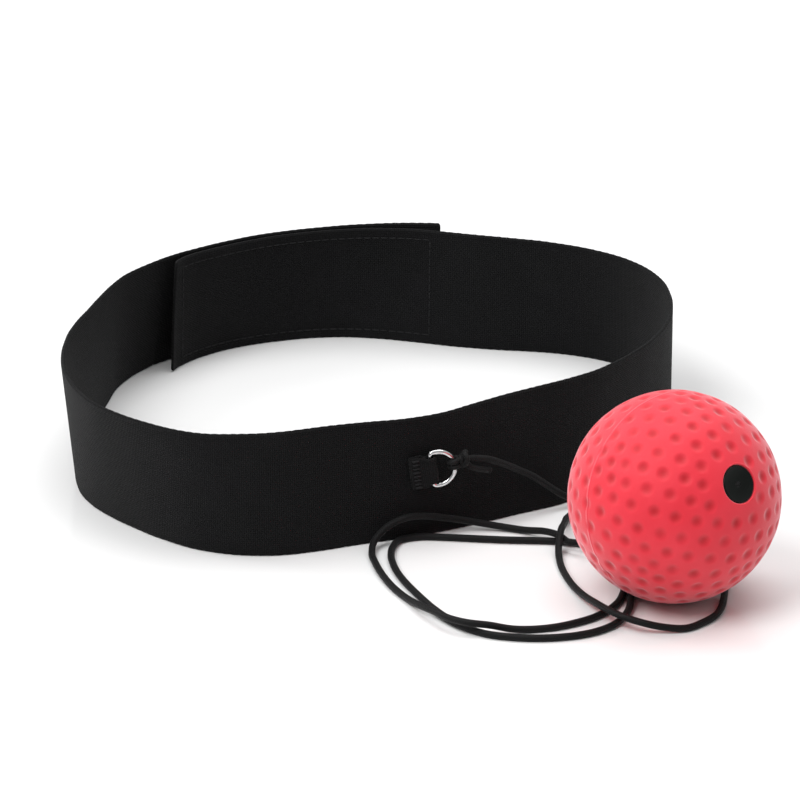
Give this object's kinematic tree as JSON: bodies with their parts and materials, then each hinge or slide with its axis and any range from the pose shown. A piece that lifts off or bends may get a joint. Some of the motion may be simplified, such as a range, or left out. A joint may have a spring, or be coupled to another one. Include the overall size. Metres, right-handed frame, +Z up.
{
  "type": "reflex ball headband",
  "caption": "Boxing reflex ball headband: black elastic head strap with hook-and-loop closure, ring in a sewn tab, long elastic cord and a dimpled foam ball.",
  "frame": {"origin": "middle of the part's footprint on the surface it lies on, at the bottom of the strap and the ball", "axes": "+Z up from the surface, +Y towards the strap's closure at the back, +X to the right seen from the ring and ball side"},
  "size_m": [0.2146, 0.2583, 0.062],
  "materials": {
    "black_webbing": "woven matte black",
    "hook_and_loop": "napped matte black",
    "black_thread": "twisted thread",
    "nickel_wire": "bright plated wire",
    "black_cord": "braided sheath",
    "coral_foam": "matte dimpled foam",
    "black_plastic": "moulded, satin"
  },
  "bodies": {
    "headband": {"strap_band": "black_webbing", "loop_tape": "hook_and_loop", "inner_seam": "black_thread", "ring_tab": "black_webbing", "tab_tack": "black_thread", "cord_lead": "black_cord"},
    "closure_flap": {"strap_flap": "black_webbing", "hook_tape": "hook_and_loop", "outer_seam": "black_thread"},
    "ring": {"d_ring": "nickel_wire", "ring_knot": "black_cord"},
    "tether": {"cord_coils": "black_cord", "stop_knot": "black_cord"},
    "ball": {"ball": "coral_foam", "bore_cup": "black_plastic"}
  },
  "joints": [
    {"name": "closure_peel", "type": "hinge", "parent": "headband", "child": "closure_flap", "pos_m": [-0.07654, 0.10007, 0.019], "axis": [0.0473, -0.1293, 0.9905], "range_deg": [0, 80]},
    {"name": "ring_swing", "type": "hinge", "parent": "headband", "child": "ring", "pos_m": [0.00635, -0.05156, 0.02176], "axis": [0.1273, 0.0562, -0.9903], "range_deg": [0, 95], "deforming": ["cord_lead"]},
    {"name": "tether_pull", "type": "slide", "parent": "headband", "child": "tether", "axis": [0.8211, -0.5708, 0], "range_m": [0, 0.12], "deforming": ["cord_coils"]},
    {"name": "ball_spin", "type": "hinge", "parent": "tether", "child": "ball", "pos_m": [0.0762, -0.0956, 0.031], "axis": [0.5601, -0.7152, 0.4181], "continuous": true}
  ]
}
